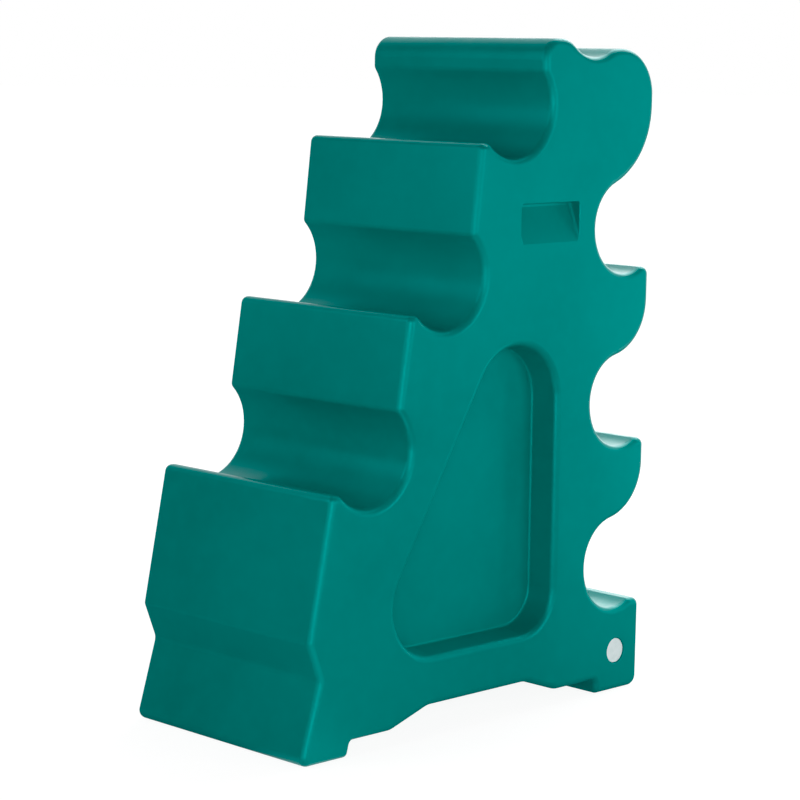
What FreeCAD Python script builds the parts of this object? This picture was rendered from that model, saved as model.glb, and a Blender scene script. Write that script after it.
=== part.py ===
"""Stepped stable block: mounting block and jump-pole rest, moulded in one hollow piece.

Frame: X across the block, Y rearwards (the treads face -Y), Z up. The origin is at ground level
under the middle of the block's box. Millimetres. In the dimension sheet "back" is measured
rearwards from the front toe's sharp corner, and "up" is measured from the ground.
"""
import FreeCAD, Part
import os
import Sketcher
from FreeCAD import Rotation, Vector

DIMENSIONS = {
    # overall
    "block_width": 291.5,
    "block_height": 800,
    "origin_back": 288.6,
    "wall": 5,
    "side_edge_round": 8,
    # front: waist and nose of the bottom step, then the treads
    "waist_back": 28.2, "waist_up": 94.5,
    "nose_back": 11.6, "nose_up": 137.4,
    "tread_1_back": 44.2, "tread_1_up": 299,
    "riser_2_back": 131.2,
    "tread_2_back": 161.4, "tread_2_up": 490,
    "riser_3_back": 250.1,
    "tread_3_back": 271.9, "tread_3_up": 680,
    "head_root_back": 365, "head_root_up": 700,
    "head_back": 377.2,
    # top and rear wall
    "lobe_front_back": 467.2, "lobe_up": 789,
    "rear_top_back": 574.9, "rear_foot_back": 569.4,
    # underside: two feet and the arch between them
    "front_foot_back": 72.2, "front_foot_root_back": 76.7,
    "skirt_up": 18,
    "arch_front_back": 140.2, "arch_rise_back": 200.2,
    "arch_up": 37,
    "arch_fall_back": 365.2, "arch_rear_back": 420.2,
    "rear_foot_root_back": 490.7, "rear_foot_front_back": 491.7,
    # pole cups: round troughs right across the block
    "front_cup_radius": 60.7,
    "front_cup_1_back": 104, "front_cup_1_up": 338.6,
    "front_cup_2_back": 220.2, "front_cup_2_up": 529.8,
    "front_cup_3_back": 330.8, "front_cup_3_up": 722.3,
    "rear_cup_radius": 57,
    "rear_cup_1_back": 525.2, "rear_cup_1_up": 161.6,
    "rear_cup_2_back": 529.3, "rear_cup_2_up": 363.2,
    "rear_cup_3_back": 531.6, "rear_cup_3_up": 575.2,
    # flat lips that end the rear cups
    "rear_lip_1_up": 111.5, "rear_lip_2_up": 313.3, "rear_lip_3_up": 524.9,
    "mouth_back": 600,
    "top_cup_radius": 58,
    "top_cup_back": 468.5, "top_cup_up": 836.5,
    # roundings of the profile
    "toe_round": 10, "foot_round": 6, "heel_round": 13, "arch_round": 30,
    "waist_round": 14, "nose_round": 8, "tread_round": 8,
    "cup_lip_round": 10, "cup_nose_round": 8,
    "head_front_round": 25, "head_cup_round": 10,
    "head_roll_round": 35, "lobe_front_round": 50, "lobe_rear_round": 56,
    "head_hook_round": 100, "rear_hook_round": 68,
    "rear_lip_round": 9, "lip_inner_round": 6,
    # triangular recess in each side
    "recess_front_back": 93.7, "recess_rear_back": 408.7,
    "recess_base_up": 94.5, "recess_apex_up": 625.7,
    "recess_depth": 36.5, "recess_draft": 8,
    "recess_front_round": 63.5, "recess_rear_round": 50, "recess_apex_round": 68.5,
    "recess_floor_round": 3,
    # wedge-shaped hand grip in each side
    "grip_front_back": 340.2, "grip_length": 101,
    "grip_low_up": 562, "grip_top_up": 609,
    "grip_depth": 18, "grip_inner_round": 4, "grip_edge_round": 1.5,
    # filling hole low at the rear of the right side, thickened from inside
    "bung_back": 526.5, "bung_up": 50.2,
    "hole_radius": 12.5, "seat_radius": 15.8, "seat_depth": 5, "seat_edge_round": 0.8,
    "boss_radius": 22, "boss_depth": 12,
    # bung and its seal; depths are measured inwards from the bung's face
    "head_radius": 15.2, "head_thickness": 2.2, "head_edge_round": 0.5,
    "head_dish": 0.4, "dish_radius": 13.7, "rim_radius": 14.2,
    "shank_radius": 12, "shank_lead_depth": 17, "shank_depth": 18.2, "shank_end_radius": 10.8,
    "shank_bore": 9.2, "web_depth": 4.4,
    "rib_foot_radius": 11.5, "rib_radius": 12.42,
    "rib_start": 5.4, "rib_end": 7.6, "rib_pitch": 3.6, "rib_count": 3,
    "gate_radius": 0.9, "gate_height": 0.3, "gate_drop": 5,
    "seal_inner_radius": 12.05, "seal_outer_radius": 14.9, "seal_thickness": 1.5,
}

doc = FreeCAD.newDocument("mounting_block")
sheet = doc.addObject("Spreadsheet::Sheet", "dimensions")
for row, (alias, value) in enumerate(DIMENSIONS.items(), 1):
    sheet.set(f"A{row}", alias)
    sheet.set(f"B{row}", str(value))
    sheet.setAlias(f"B{row}", alias)
doc.recompute()


# ---- helpers ---------------------------------------------------------------------------------
def bind(item, setting, formula):
    """Bind a property to a formula in which [alias] stands for a cell of the sheet."""
    item.setExpression(setting, formula.replace("[", "dimensions.").replace("]", ""))


def size_by(sketch, constraint, formula):
    """Add a constraint to a sketch and bind its size to a formula."""
    index = sketch.addConstraint(constraint)
    bind(sketch, f"Constraints[{index}]", formula)


def place(across, up):
    """The two sizes that a pair of aliases stands for; 0 stands for itself."""
    return DIMENSIONS.get(across, 0), DIMENSIONS.get(up, 0)


def new_body(label):
    """An empty body."""
    body = doc.addObject("PartDesign::Body", label)
    body.Label = label
    return body


def origin_plane(body, role):
    """One of the body's own origin planes."""
    return next(p for p in body.Origin.OriginFeatures if p.Role == role)


def new_sketch(body, role, name):
    """A sketch on one of the body's own origin planes."""
    sketch = body.newObject("Sketcher::SketchObject", name)
    sketch.AttachmentSupport = [(origin_plane(body, role), "")]
    sketch.MapMode = "FlatFace"
    return sketch


def new_side_sketch(body, name, offset="0"):
    """A sketch at this X in which across is measured rearwards from the toe."""
    sketch = new_sketch(body, "YZ_Plane", name)
    bind(sketch, "AttachmentOffset.Base.x", "-[origin_back] * 1 mm")
    bind(sketch, "AttachmentOffset.Base.z", offset + " * 1 mm")
    return sketch


def pin_point(sketch, geometry, point, across, up):
    """Hold a point of the sketch at two aliases; 0 instead of an alias holds it on the axis."""
    for alias, kind, axis in ((across, "DistanceX", -2), (up, "DistanceY", -1)):
        if alias:
            size = DIMENSIONS[alias]
            size_by(sketch, Sketcher.Constraint(kind, -1, 1, geometry, point, size), f"[{alias}]")
        else:
            sketch.addConstraint(Sketcher.Constraint("PointOnObject", geometry, point, axis))


def draw_polygon(sketch, corners):
    """A closed outline of straight lines through corners given as pairs of aliases."""
    points = [Vector(*place(across, up), 0) for across, up in corners]
    ends = points[1:] + points[:1]
    lines = [sketch.addGeometry(Part.LineSegment(a, b)) for a, b in zip(points, ends)]
    for line, following in zip(lines, lines[1:] + lines[:1]):
        sketch.addConstraint(Sketcher.Constraint("Coincident", line, 2, following, 1))
    for line, (across, up) in zip(lines, corners):
        pin_point(sketch, line, 1, across, up)


def round_corners(sketch, rounds):
    """Round the first corners of a polygon, each with the radius of its alias."""
    for number, alias in enumerate(rounds):
        sketch.fillet(number, 1, DIMENSIONS[alias], True, True)
        kinds = [g.TypeId for g in sketch.Geometry]
        arc = max(i for i, kind in enumerate(kinds) if kind == "Part::GeomArcOfCircle")
        size_by(sketch, Sketcher.Constraint("Radius", arc, DIMENSIONS[alias]), f"[{alias}]")


def draw_circle(sketch, radius, across, up):
    """A circle whose radius and centre are aliases of the sheet."""
    centre = Vector(*place(across, up), 0)
    circle = sketch.addGeometry(Part.Circle(centre, Vector(0, 0, 1), DIMENSIONS[radius]))
    size_by(sketch, Sketcher.Constraint("Radius", circle, DIMENSIONS[radius]), f"[{radius}]")
    pin_point(sketch, circle, 3, across, up)


def pocket(body, sketch, name, depth):
    """Cut a sketch into the body by a depth from the sheet."""
    cut = body.newObject("PartDesign::Pocket", name)
    cut.Profile = sketch
    bind(cut, "Length", depth)
    return cut


def mirror_to_left(body, feature, name):
    """Repeat a feature of the right side on the left side."""
    mirrored = body.newObject("PartDesign::Mirrored", name)
    mirrored.Originals = [feature]
    mirrored.MirrorPlane = (origin_plane(body, "YZ_Plane"), [""])
    body.Tip = mirrored
    doc.recompute()


def revolve(body, sketch, name):
    """Turn a sketch fully around its own horizontal axis."""
    turned = body.newObject("PartDesign::Revolution", name)
    turned.Profile = sketch
    turned.ReferenceAxis = (sketch, ["H_Axis"])
    turned.Angle = 360
    return turned


def round_edges(body, name, radius, edges):
    """Round some edges of the body's last feature with a radius from the sheet."""
    base = body.Tip
    fillet = body.newObject("PartDesign::Fillet", name)
    fillet.Base = (base, edges)
    bind(fillet, "Radius", f"[{radius}]")
    doc.recompute()


def cross_edges(shape):
    """Name, back and up of each straight edge that runs across the block."""
    found = []
    for number, edge in enumerate(shape.Edges, 1):
        if edge.Curve.TypeId != "Part::GeomLine":
            continue
        start, end = edge.Vertexes[0].Point, edge.Vertexes[-1].Point
        if abs(start.y - end.y) + abs(start.z - end.z) < 1e-6:
            found.append((f"Edge{number}", start.y + DIMENSIONS["origin_back"], start.z))
    return found


def round_profile(name, radius, places):
    """Round the cross edges of the block form that lie nearest to these places."""
    edges = cross_edges(form.Shape)
    nearest = [min(edges, key=lambda e: (e[1] - back) ** 2 + (e[2] - up) ** 2)
               for back, up in places]
    round_edges(form, name, radius, [edge[0] for edge in nearest])


def cup_place(cup, side, rise):
    """A place on a cup's circle: side is -1 or 1, rise is its height over the centre in radii."""
    radius = DIMENSIONS[cup[:cup.index("cup") + 3] + "_radius"]
    back, up = place(cup + "_back", cup + "_up")
    return back + side * radius * (1 - rise ** 2) ** 0.5, up + rise * radius


def edges_at_x(shape, *positions):
    """Names of the edges that lie in a plane at one of these X positions."""
    return [f"Edge{n}" for n, e in enumerate(shape.Edges, 1) for x in positions
            if abs(e.BoundBox.XMin - x) < 1e-4 and abs(e.BoundBox.XMax - x) < 1e-4]


def is_circle(shape, name, radius):
    """Whether the named edge is a circle with the radius of this alias."""
    edge = shape.getElement(name)
    if edge.Degenerated or edge.Curve.TypeId != "Part::GeomCircle":
        return False
    return abs(edge.Curve.Radius - DIMENSIONS[radius]) < 1e-4


def edges_in_box(shape, low, high):
    """Names of the edges that lie wholly inside a box."""
    box = FreeCAD.BoundBox(*low, *high)
    return [f"Edge{n}" for n, e in enumerate(shape.Edges, 1) if box.isInside(e.BoundBox)]


# ---- block form: staircase outline, pole cups and the roundings of the profile ----------------
FRONT_CUPS = ("front_cup_1", "front_cup_2", "front_cup_3")
REAR_CUPS = ("rear_cup_1", "rear_cup_2", "rear_cup_3")

form = new_body("block_form")
outline = new_side_sketch(form, "side_outline")
draw_polygon(outline, [
    (0, 0), ("waist_back", "waist_up"), ("nose_back", "nose_up"),
    ("tread_1_back", "tread_1_up"), ("riser_2_back", "tread_1_up"),
    ("tread_2_back", "tread_2_up"), ("riser_3_back", "tread_2_up"),
    ("tread_3_back", "tread_3_up"), ("head_root_back", "tread_3_up"),
    ("head_back", "head_root_up"), ("head_back", "block_height"),
    ("lobe_front_back", "block_height"), ("lobe_front_back", "lobe_up"),
    ("rear_top_back", "lobe_up"), ("rear_foot_back", 0),
    ("rear_foot_front_back", 0), ("rear_foot_root_back", "skirt_up"),
    ("arch_rear_back", "skirt_up"), ("arch_fall_back", "arch_up"),
    ("arch_rise_back", "arch_up"), ("arch_front_back", "skirt_up"),
    ("front_foot_root_back", "skirt_up"), ("front_foot_back", 0),
])
pad = form.newObject("PartDesign::Pad", "outline_pad")
pad.Profile = outline
pad.SideType = "Symmetric"
bind(pad, "Length", "[block_width]")

circles = new_side_sketch(form, "cup_circles")
for cup in FRONT_CUPS + REAR_CUPS:
    draw_circle(circles, cup[:-2] + "_radius", cup + "_back", cup + "_up")
draw_circle(circles, "top_cup_radius", "top_cup_back", "top_cup_up")
troughs = form.newObject("PartDesign::Pocket", "cup_troughs")
troughs.Profile = circles
troughs.Type = "ThroughAll"
troughs.SideType = "Symmetric"

mouths = new_side_sketch(form, "cup_mouths")
for n in (1, 2, 3):
    draw_polygon(mouths, [(f"rear_cup_{n}_back", f"rear_lip_{n}_up"),
                          ("mouth_back", f"rear_lip_{n}_up"), ("mouth_back", f"rear_cup_{n}_up"),
                          (f"rear_cup_{n}_back", f"rear_cup_{n}_up")])
openings = form.newObject("PartDesign::Pocket", "cup_openings")
openings.Profile = mouths
openings.Type = "ThroughAll"
openings.SideType = "Symmetric"
doc.recompute()

round_profile("toe_rounding", "toe_round", [(0, 0)])
round_profile("waist_rounding", "waist_round", [place("waist_back", "waist_up")])
round_profile("nose_rounding", "nose_round", [place("nose_back", "nose_up")])
round_profile("tread_rounding", "tread_round",
              [place(f"tread_{n}_back", f"tread_{n}_up") for n in (1, 2, 3)])
round_profile("cup_lip_rounding", "cup_lip_round",
              [cup_place(cup, -1, -0.66) for cup in FRONT_CUPS])
round_profile("cup_nose_rounding", "cup_nose_round",
              [cup_place(cup, 1, 0.75) for cup in FRONT_CUPS[:2]])
round_profile("head_cup_rounding", "head_cup_round", [cup_place("front_cup_3", 1, 0.64)])
round_profile("head_front_rounding", "head_front_round", [place("head_back", "block_height")])
round_profile("head_roll_rounding", "head_roll_round", [cup_place("top_cup", -1, -0.65)])
round_profile("lobe_front_rounding", "lobe_front_round", [cup_place("top_cup", 1, -0.85)])
round_profile("lobe_rear_rounding", "lobe_rear_round", [place("rear_top_back", "lobe_up")])
round_profile("rear_lip_rounding", "rear_lip_round",
              [place("rear_top_back", f"rear_lip_{n}_up") for n in (1, 2, 3)])
round_profile("lip_inner_rounding", "lip_inner_round",
              [cup_place(cup, 1, -0.88) for cup in REAR_CUPS])
round_profile("rear_hook_rounding", "rear_hook_round",
              [cup_place(cup, 1, 0.68) for cup in REAR_CUPS[:2]])
round_profile("head_hook_rounding", "head_hook_round", [cup_place("rear_cup_3", 1, 0.68)])
round_profile("arch_rounding", "arch_round",
              [place("arch_front_back", "skirt_up"), place("arch_rise_back", "arch_up"),
               place("arch_fall_back", "arch_up"), place("arch_rear_back", "skirt_up")])
round_profile("foot_rounding", "foot_round",
              [place("front_foot_back", 0), place("front_foot_root_back", "skirt_up"),
               place("rear_foot_front_back", 0), place("rear_foot_root_back", "skirt_up")])
round_profile("heel_rounding", "heel_round", [place("rear_foot_back", 0)])
profile_feature = form.Tip

# ---- recess, side edges and hand grip, alike on both sides ------------------------------------
right_x = DIMENSIONS["block_width"] / 2
floor_x = right_x - DIMENSIONS["recess_depth"]
grip_y = DIMENSIONS["grip_front_back"] - DIMENSIONS["origin_back"]

triangle = new_side_sketch(form, "recess_outline", "[block_width] / 2")
draw_polygon(triangle, [("recess_front_back", "recess_base_up"),
                        ("recess_rear_back", "recess_base_up"),
                        ("recess_rear_back", "recess_apex_up")])
round_corners(triangle, ["recess_front_round", "recess_rear_round", "recess_apex_round"])
recess = pocket(form, triangle, "recess_right", "[recess_depth]")
bind(recess, "TaperAngle", "-[recess_draft]")
mirror_to_left(form, recess, "recess_left")
round_edges(form, "recess_floor_rounding", "recess_floor_round",
            edges_at_x(form.Shape, floor_x, -floor_x))
round_edges(form, "side_edge_rounding", "side_edge_round",
            edges_at_x(form.Shape, right_x, -right_x))

wedge = new_sketch(form, "XZ_Plane", "grip_wedge")
bind(wedge, "AttachmentOffset.Base.x", "([block_width] / 2 - [grip_depth]) * 1 mm")
bind(wedge, "AttachmentOffset.Base.z", "([origin_back] - [grip_front_back]) * 1 mm")
draw_polygon(wedge, [(0, "grip_top_up"), ("grip_depth", "grip_low_up"),
                     ("grip_depth", "grip_top_up")])
grip = pocket(form, wedge, "grip_right", "[grip_length]")
mirror_to_left(form, grip, "grip_left")
grip_low = (-right_x - 1, grip_y - 1, DIMENSIONS["grip_low_up"] - 1)
grip_high = (right_x + 1, grip_y + DIMENSIONS["grip_length"] + 1, DIMENSIONS["grip_top_up"] + 1)
outer = edges_at_x(form.Shape, right_x, -right_x)
round_edges(form, "grip_inner_rounding", "grip_inner_round",
            [e for e in edges_in_box(form.Shape, grip_low, grip_high) if e not in outer])
outer = edges_at_x(form.Shape, right_x, -right_x)
round_edges(form, "grip_edge_rounding", "grip_edge_round",
            [e for e in edges_in_box(form.Shape, grip_low, grip_high) if e in outer])

# ---- filling hole with its seat, right side only ----------------------------------------------
seat = new_side_sketch(form, "seat_circle", "[block_width] / 2")
draw_circle(seat, "seat_radius", "bung_back", "bung_up")
pocket(form, seat, "bung_seat", "[seat_depth]")
hole = new_side_sketch(form, "hole_circle", "[block_width] / 2")
draw_circle(hole, "hole_radius", "bung_back", "bung_up")
pocket(form, hole, "filling_hole", "[boss_depth] + [wall]")
doc.recompute()
round_edges(form, "seat_edge_rounding", "seat_edge_round",
            [e for e in edges_at_x(form.Shape, right_x) if is_circle(form.Shape, e, "seat_radius")])

# ---- cavity: the profile moved inwards by the wall, less the backs of recess, grip and hole ---
profile_faces = profile_feature.Shape.Faces
profile_face = 1 + max(range(len(profile_faces)), key=lambda i: profile_faces[i].CenterOfMass.x)
profile = doc.addObject("PartDesign::SubShapeBinder", "outer_profile")
profile.Support = [(profile_feature, (f"Face{profile_face}",))]
inner_profile = doc.addObject("Part::Offset2D", "inner_profile")
inner_profile.Source = profile
bind(inner_profile, "Value", "-[wall]")


def extrude_inwards(name, source, start, end):
    """A solid between two depths from the right side; depths are formulas."""
    solid = doc.addObject("Part::Extrusion", name)
    solid.Base = source
    solid.DirMode = "Custom"
    solid.Dir = Vector(-1, 0, 0)
    solid.Solid = True
    bind(solid, "LengthFwd", end)
    bind(solid, "LengthRev", "-(" + start + ")")
    return solid


room = extrude_inwards("room", inner_profile, "[wall]", "[block_width] - [wall]")
recess_backing = doc.addObject("Part::Offset2D", "recess_backing")
recess_backing.Source = triangle
recess_backing.Fill = False
bind(recess_backing, "Value", "[wall]")
recess_boss = extrude_inwards("recess_boss", recess_backing, "0", "[recess_depth] + [wall]")

grip_boss = doc.addObject("Part::Box", "grip_boss")
bind(grip_boss, "Length", "[grip_depth] + [wall]")
bind(grip_boss, "Width", "[grip_length] + 2 * [wall]")
bind(grip_boss, "Height", "[grip_top_up] - [grip_low_up] + [wall]")
bind(grip_boss, "Placement.Base.x", "[block_width] / 2 - [grip_depth] - [wall]")
bind(grip_boss, "Placement.Base.y", "[grip_front_back] - [origin_back] - [wall]")
bind(grip_boss, "Placement.Base.z", "[grip_low_up]")

right_bosses = doc.addObject("Part::MultiFuse", "right_bosses")
right_bosses.Shapes = [recess_boss, grip_boss]
left_bosses = doc.addObject("Part::Mirroring", "left_bosses")
left_bosses.Source = right_bosses
left_bosses.Normal = Vector(1, 0, 0)

hole_boss = doc.addObject("Part::Cylinder", "hole_boss")
hole_boss.Placement.Rotation = Rotation(Vector(0, 1, 0), 90)
bind(hole_boss, "Radius", "[boss_radius]")
bind(hole_boss, "Height", "[boss_depth]")
bind(hole_boss, "Placement.Base.x", "[block_width] / 2 - [boss_depth]")
bind(hole_boss, "Placement.Base.y", "[bung_back] - [origin_back]")
bind(hole_boss, "Placement.Base.z", "[bung_up]")

bosses = doc.addObject("Part::MultiFuse", "bosses")
bosses.Shapes = [right_bosses, left_bosses, hole_boss]
cavity = doc.addObject("Part::Cut", "cavity")
cavity.Base = room
cavity.Tool = bosses

block_shell = doc.addObject("Part::Cut", "block_shell")
block_shell.Base = form
block_shell.Tool = cavity
block_shell.Label = "block_shell"


# ---- bung and its seal: both are drawn along an axis that points into the block ---------------
def put_in_hole(body):
    """Place a body with its origin at the bung's face and its X axis pointing inwards."""
    body.Placement.Rotation = Rotation(Vector(0, 0, 1), 180)
    bind(body, "Placement.Base.x",
         "([block_width] / 2 - [seat_depth] + [seal_thickness] + [head_thickness]) * 1 mm")
    bind(body, "Placement.Base.y", "([bung_back] - [origin_back]) * 1 mm")
    bind(body, "Placement.Base.z", "[bung_up] * 1 mm")


bung = new_body("filler_bung")
section = new_sketch(bung, "XZ_Plane", "bung_section")
draw_polygon(section, [
    ("head_dish", 0), ("head_dish", "dish_radius"), (0, "rim_radius"), (0, "head_radius"),
    ("head_thickness", "head_radius"), ("head_thickness", "shank_radius"),
    ("shank_lead_depth", "shank_radius"), ("shank_depth", "shank_end_radius"),
    ("shank_depth", "shank_bore"), ("web_depth", "shank_bore"), ("web_depth", 0),
])
revolve(bung, section, "bung_turned")
rib_section = new_sketch(bung, "XZ_Plane", "rib_section")
draw_polygon(rib_section, [("rib_start", "rib_foot_radius"), ("rib_start", "rib_radius"),
                           ("rib_end", "rib_foot_radius")])
rib = revolve(bung, rib_section, "sealing_rib")
ribs = bung.newObject("PartDesign::LinearPattern", "sealing_ribs")
ribs.Originals = [rib]
ribs.Direction = (rib_section, ["H_Axis"])
ribs.Mode = "Spacing"
bind(ribs, "Offset", "[rib_pitch]")
bind(ribs, "Occurrences", "[rib_count]")
bung.Tip = ribs
gate = new_sketch(bung, "YZ_Plane", "gate_circle")
bind(gate, "AttachmentOffset.Base.y", "-[gate_drop] * 1 mm")
bind(gate, "AttachmentOffset.Base.z", "[head_dish] * 1 mm")
draw_circle(gate, "gate_radius", 0, 0)
gate_mark = bung.newObject("PartDesign::Pad", "gate_mark")
gate_mark.Profile = gate
gate_mark.Reversed = True
bind(gate_mark, "Length", "[gate_height]")
doc.recompute()
rim_edges = [e for e in edges_at_x(bung.Shape, 0) if is_circle(bung.Shape, e, "head_radius")]
round_edges(bung, "head_edge_rounding", "head_edge_round", rim_edges)
put_in_hole(bung)

seal = new_body("bung_seal")
ring = new_sketch(seal, "YZ_Plane", "seal_ring")
bind(ring, "AttachmentOffset.Base.z", "[head_thickness] * 1 mm")
draw_circle(ring, "seal_outer_radius", 0, 0)
draw_circle(ring, "seal_inner_radius", 0, 0)
seal_pad = seal.newObject("PartDesign::Pad", "seal_pad")
seal_pad.Profile = ring
bind(seal_pad, "Length", "[seal_thickness]")
put_in_hole(seal)
doc.recompute()

# ---- check and write --------------------------------------------------------------------------
for item in doc.Objects:
    if {"Invalid", "Error"} & set(item.State):
        raise RuntimeError(f"{item.Label}: {item.getStatusString()}")
os.makedirs("parts", exist_ok=True)
for node in (block_shell, bung, seal):
    shape = node.Shape
    if shape.isNull() or not shape.isValid() or len(shape.Solids) != 1:
        raise RuntimeError(f"{node.Label} is not one valid solid")
    shape.exportStep(f"parts/{node.Label}.step")
    print(node.Label, f"{shape.Volume:.0f} mm3", shape.BoundBox)
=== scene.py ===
"""Looks of the moulded mounting block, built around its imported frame. Metres, Z up."""

import math

import bpy
from mathutils import Matrix, Quaternion, Vector


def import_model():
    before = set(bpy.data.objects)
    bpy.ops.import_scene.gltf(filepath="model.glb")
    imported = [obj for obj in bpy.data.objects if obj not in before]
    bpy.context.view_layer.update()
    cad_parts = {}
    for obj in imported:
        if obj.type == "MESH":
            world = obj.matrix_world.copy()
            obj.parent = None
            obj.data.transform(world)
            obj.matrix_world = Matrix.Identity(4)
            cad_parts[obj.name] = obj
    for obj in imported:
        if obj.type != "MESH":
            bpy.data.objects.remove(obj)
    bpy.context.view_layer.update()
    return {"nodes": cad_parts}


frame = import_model()
scene = bpy.context.scene

WHITE = (1, 1, 1, 1)


# ---- node helpers ------------------------------------------------------------------------------
class Shader:
    """A small builder of node trees."""

    def __init__(self, owner):
        owner.use_nodes = True
        self.tree = owner.node_tree
        self.tree.nodes.clear()

    def add(self, kind, inputs=None, **settings):
        """A node with its settings and inputs; an input is a value or another node's output."""
        node = self.tree.nodes.new(kind)
        for name, value in settings.items():
            setattr(node, name, value)
        for name, value in (inputs or {}).items():
            if isinstance(value, bpy.types.NodeSocket):
                self.tree.links.new(value, node.inputs[name])
            else:
                node.inputs[name].default_value = value
        return node

    def maths(self, operation, first, second):
        """The result of an operation on two values."""
        return self.add("ShaderNodeMath", {0: first, 1: second}, operation=operation).outputs[0]

    def noise(self, place, scale, detail=2.0, roughness=0.5, distortion=0.0):
        """Noise between 0 and 1 over a place; the scale is in features per metre."""
        return self.add("ShaderNodeTexNoise", {
            "Vector": place, "Scale": scale, "Detail": detail, "Roughness": roughness,
            "Distortion": distortion}).outputs["Fac"]

    def spread(self, value, low, high, to_low, to_high):
        """Maps low..high to to_low..to_high, smoothly and held at the ends."""
        return self.add("ShaderNodeMapRange", {
            "Value": value, "From Min": low, "From Max": high,
            "To Min": to_low, "To Max": to_high},
            interpolation_type="SMOOTHSTEP").outputs["Result"]

    def blend(self, factor, first, second):
        """A mix of two colours."""
        node = self.add("ShaderNodeMix", data_type="RGBA")
        for socket, value in ((node.inputs[0], factor), (node.inputs[6], first),
                              (node.inputs[7], second)):
            if isinstance(value, bpy.types.NodeSocket):
                self.tree.links.new(value, socket)
            else:
                socket.default_value = value
        return node.outputs[2]

    def bump(self, height, distance, strength, normal=None):
        """A normal bent by a height of 0 to 1 that stands for a distance in metres."""
        inputs = {"Height": height, "Distance": distance, "Strength": strength}
        if normal is not None:
            inputs["Normal"] = normal
        return self.add("ShaderNodeBump", inputs).outputs["Normal"]


def rgb(red, green, blue):
    """An sRGB colour of 0..255 as linear RGBA."""
    def linear(value):
        value /= 255
        return value / 12.92 if value <= 0.04045 else ((value + 0.055) / 1.055) ** 2.4
    return (linear(red), linear(green), linear(blue), 1)


# ---- materials ---------------------------------------------------------------------------------
def teal_plastic():
    """Rotationally moulded polyethylene: satin, slightly wavy, with orange peel and fine grain."""
    material = bpy.data.materials.new("teal_polyethylene")
    s = Shader(material)
    place = s.add("ShaderNodeTexCoord").outputs["Object"]
    cloud = s.noise(place, 4.0, detail=3.0)
    mottle = s.noise(place, 55.0, detail=4.0, roughness=0.6)
    peel = s.noise(place, 520.0, detail=2.0)
    grain = s.noise(place, 2100.0, detail=1.0)
    wave = s.noise(place, 9.0, detail=1.0)

    colour = s.blend(s.spread(cloud, 0.3, 0.7, 0.0, 1.0), rgb(0, 122, 115), rgb(0, 129, 122))
    colour = s.blend(s.spread(mottle, 0.35, 0.75, 0.0, 0.25), colour, rgb(0, 136, 128))
    rough = s.maths("ADD", s.spread(cloud, 0.3, 0.7, 0.34, 0.40),
                    s.spread(mottle, 0.3, 0.7, -0.03, 0.03))
    normal = s.bump(wave, 0.004, 0.35)
    normal = s.bump(peel, 0.00012, 0.5, normal)
    normal = s.bump(grain, 0.00003, 0.5, normal)
    shader = s.add("ShaderNodeBsdfPrincipled", {
        "Base Color": colour, "Roughness": rough, "Normal": normal, "IOR": 1.5,
        "Specular Tint": (0, 1, 1, 1)})
    s.add("ShaderNodeOutputMaterial", {"Surface": shader.outputs[0]})
    return material


def white_plastic():
    """The bung's injection-moulded plastic: milky, with faint handling marks."""
    material = bpy.data.materials.new("white_polyethylene")
    s = Shader(material)
    place = s.add("ShaderNodeTexCoord").outputs["Object"]
    cloud = s.noise(place, 120.0, detail=3.0)
    scuff = s.noise(place, 900.0, detail=4.0, roughness=0.7, distortion=1.5)
    grain = s.noise(place, 3000.0, detail=1.0)
    colour = s.blend(s.spread(cloud, 0.3, 0.7, 0.0, 1.0), rgb(226, 238, 238), rgb(234, 244, 245))
    colour = s.blend(s.spread(scuff, 0.62, 0.8, 0.0, 0.25), colour, rgb(190, 205, 205))
    normal = s.bump(scuff, 0.00003, 0.5)
    normal = s.bump(grain, 0.00002, 0.4, normal)
    shader = s.add("ShaderNodeBsdfPrincipled", {
        "Base Color": colour, "Roughness": s.spread(scuff, 0.3, 0.8, 0.38, 0.5),
        "Normal": normal, "IOR": 1.5})
    s.add("ShaderNodeOutputMaterial", {"Surface": shader.outputs[0]})
    return material


def black_rubber():
    """The washer's matt rubber."""
    material = bpy.data.materials.new("black_rubber")
    s = Shader(material)
    place = s.add("ShaderNodeTexCoord").outputs["Object"]
    cloud = s.noise(place, 400.0, detail=3.0)
    grain = s.noise(place, 4000.0, detail=1.0)
    colour = s.blend(s.spread(cloud, 0.3, 0.7, 0.0, 1.0), rgb(30, 31, 31), rgb(44, 45, 45))
    shader = s.add("ShaderNodeBsdfPrincipled", {
        "Base Color": colour, "Roughness": s.spread(cloud, 0.3, 0.7, 0.7, 0.85),
        "Normal": s.bump(grain, 0.00003, 0.5)})
    s.add("ShaderNodeOutputMaterial", {"Surface": shader.outputs[0]})
    return material


def dress(obj, material):
    """Give an object one material."""
    obj.data.materials.clear()
    obj.data.materials.append(material)


for node, paint in (("block_shell", teal_plastic), ("filler_bung", white_plastic),
                    ("bung_seal", black_rubber)):
    dress(frame["nodes"][node], paint())


# ---- floor, light and camera -------------------------------------------------------------------
def direction(azimuth, elevation):
    """The unit vector towards an azimuth (0 is -Y, 90 is +X) and elevation in degrees."""
    a, e = math.radians(azimuth), math.radians(elevation)
    return Vector((math.sin(a) * math.cos(e), -math.cos(a) * math.cos(e), math.sin(e)))


def set_up(obj, aim, azimuth, elevation, distance, roll=0):
    """Place a light or camera at a distance from the point that it looks at."""
    towards = direction(azimuth, elevation)
    turn = towards.to_track_quat("Z", "Y") @ Quaternion((0, 0, 1), math.radians(roll))
    obj.matrix_world = Matrix.LocRotScale(Vector(aim) + towards * distance, turn, None)
    scene.collection.objects.link(obj)


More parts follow.
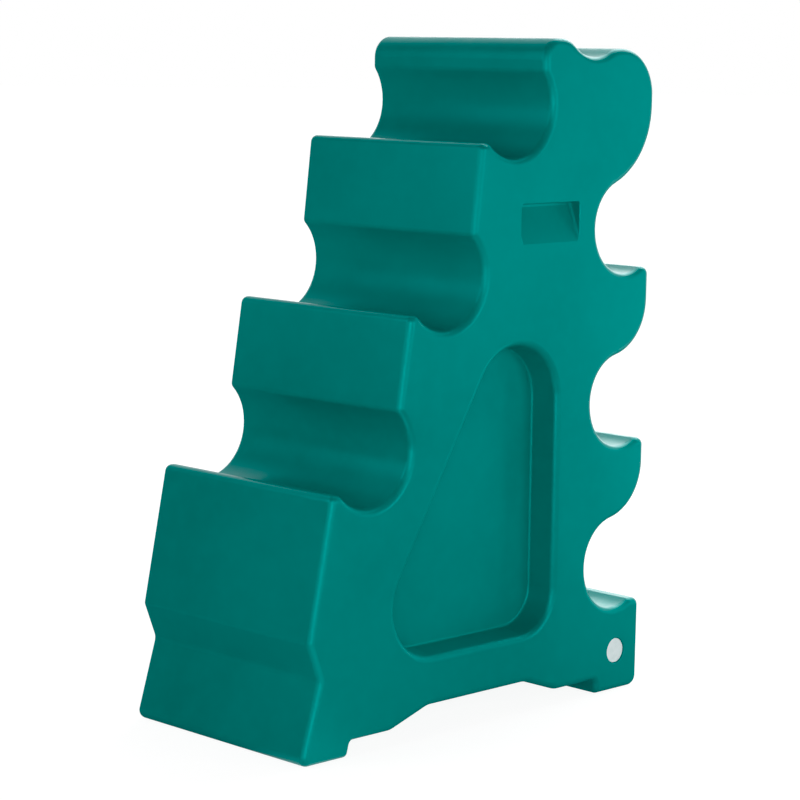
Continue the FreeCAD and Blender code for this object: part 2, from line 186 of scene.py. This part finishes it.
def floor_glow(s):
    """How brightly the floor shines, by the kind of ray that meets it and the place."""
    everywhere = 0.21
    glint_centre = (0.33, -0.37, 0)     # the place that the lower near edge reflects
    path = s.add("ShaderNodeLightPath").outputs
    place = s.add("ShaderNodeTexCoord").outputs["Object"]
    from_middle = s.add("ShaderNodeVectorMath", {0: place}, operation="LENGTH").outputs["Value"]
    from_glint = s.add("ShaderNodeVectorMath", {0: place, 1: glint_centre},
                       operation="DISTANCE").outputs["Value"]
    pale_to_white = s.spread(from_middle, 0.4, 3.0, 0.92, 1.02)
    glint = s.spread(from_glint, 0.05, 0.36, 2.6, 0.0)
    seen = s.maths("MULTIPLY", path["Is Camera Ray"], pale_to_white)
    mirrored = s.maths("MULTIPLY", path["Is Glossy Ray"], glint)
    return s.maths("MAXIMUM", s.maths("MAXIMUM", seen, mirrored), everywhere)


def floor():
    """A pale floor that fades to white far away and can be seen through from below."""
    radius = 40
    mesh = bpy.data.meshes.new("floor")
    corners = [direction(azimuth, 0) * radius for azimuth in range(0, 360, 5)]
    mesh.from_pydata(corners, [], [range(len(corners))])
    obj = bpy.data.objects.new("floor", mesh)
    scene.collection.objects.link(obj)
    material = bpy.data.materials.new("pale_floor")
    s = Shader(material)
    matt = s.add("ShaderNodeBsdfDiffuse", {"Color": (0.15, 0.15, 0.15, 1)})
    glow = s.add("ShaderNodeEmission", {"Color": WHITE, "Strength": floor_glow(s)})
    above = s.add("ShaderNodeAddShader", {0: matt.outputs[0], 1: glow.outputs[0]})
    below = s.add("ShaderNodeBsdfTransparent", {"Color": WHITE})
    from_below = s.add("ShaderNodeNewGeometry").outputs["Backfacing"]
    surface = s.add("ShaderNodeMixShader",
                    {0: from_below, 1: above.outputs[0], 2: below.outputs[0]})
    s.add("ShaderNodeOutputMaterial", {"Surface": surface.outputs[0]})
    mesh.materials.append(material)


def area_light(name, width, height, power, glossy_only=False, **place):
    """A soft box that the camera doesn't see; glossy_only leaves it to reflections."""
    data = bpy.data.lights.new(name, "AREA")
    data.shape = "RECTANGLE"
    data.size = width
    data.size_y = height
    data.energy = power
    obj = bpy.data.objects.new(name, data)
    obj.visible_camera = False
    obj.visible_diffuse = not glossy_only
    set_up(obj, **place)


def world():
    """A white studio: the camera sees white all round, the object only a backdrop behind it."""
    studio = bpy.data.worlds.new("studio")
    scene.world = studio
    s = Shader(studio)
    place = s.add("ShaderNodeTexCoord").outputs["Generated"]
    # 1 straight behind the object as the camera sees it, falling to 0 at right angles to that.
    behind = s.add("ShaderNodeVectorMath", {0: place, 1: tuple(direction(225, 15))},
                   operation="DOT_PRODUCT").outputs["Value"]
    backdrop = s.add("ShaderNodeBackground", {
        "Color": WHITE, "Strength": s.spread(behind, 0.33, 0.78, 0.0, 1.2)})
    seen = s.add("ShaderNodeBackground", {"Color": WHITE, "Strength": 1.0})
    path = s.add("ShaderNodeLightPath").outputs["Is Camera Ray"]
    mix = s.add("ShaderNodeMixShader", {0: path, 1: backdrop.outputs[0], 2: seen.outputs[0]})
    s.add("ShaderNodeOutputWorld", {"Surface": mix.outputs[0]})


def camera():
    """The camera, at the photograph's viewing angle and distance."""
    data = bpy.data.cameras.new("camera")
    data.sensor_width = 36
    data.lens = 114.4
    data.clip_end = 100
    obj = bpy.data.objects.new("camera", data)
    set_up(obj, aim=(0, 0.00083, 0.36886), azimuth=45.28, elevation=7.99, distance=3.04404,
           roll=0.75)
    scene.camera = obj


floor()
world()
# Two low lights on the camera's side; the wide one gives the upright edges their highlight.
area_light("key", width=0.9, height=0.9, power=15.2,
           aim=(0, 0, 0.45), azimuth=46, elevation=0, distance=2.2)
area_light("shine", width=4.5, height=1.4, power=43, glossy_only=True,
           aim=(0, 0, 0.65), azimuth=46, elevation=0, distance=1.6)
# For the treads, for the side with the bung and for that side's rear border.
area_light("fill", width=1.2, height=1.2, power=16.6,
           aim=(0, 0, 0.7), azimuth=-25, elevation=20, distance=2.1)
area_light("side", width=1.2, height=0.9, power=16,
           aim=(0.1, 0.2, 0.55), azimuth=106, elevation=4, distance=2.0)
area_light("edge", width=0.4, height=0.9, power=2.2,
           aim=(0.1, 0.25, 0.35), azimuth=150, elevation=5, distance=0.8)
# From behind, for the top and for the rear cups.
area_light("top", width=1.6, height=1.6, power=36,
           aim=(0, 0.1, 0.6), azimuth=192, elevation=45, distance=2.2)
area_light("back", width=1.2, height=1.0, power=10,
           aim=(0, 0.25, 0.4), azimuth=215, elevation=12, distance=1.5)
camera()
scene.view_settings.view_transform = "Standard"
# The photograph shows no red at all in the teal; a raised black point for red does the same.
scene.view_settings.use_curve_mapping = True
scene.view_settings.curve_mapping.black_level = (0.04, 0, 0)
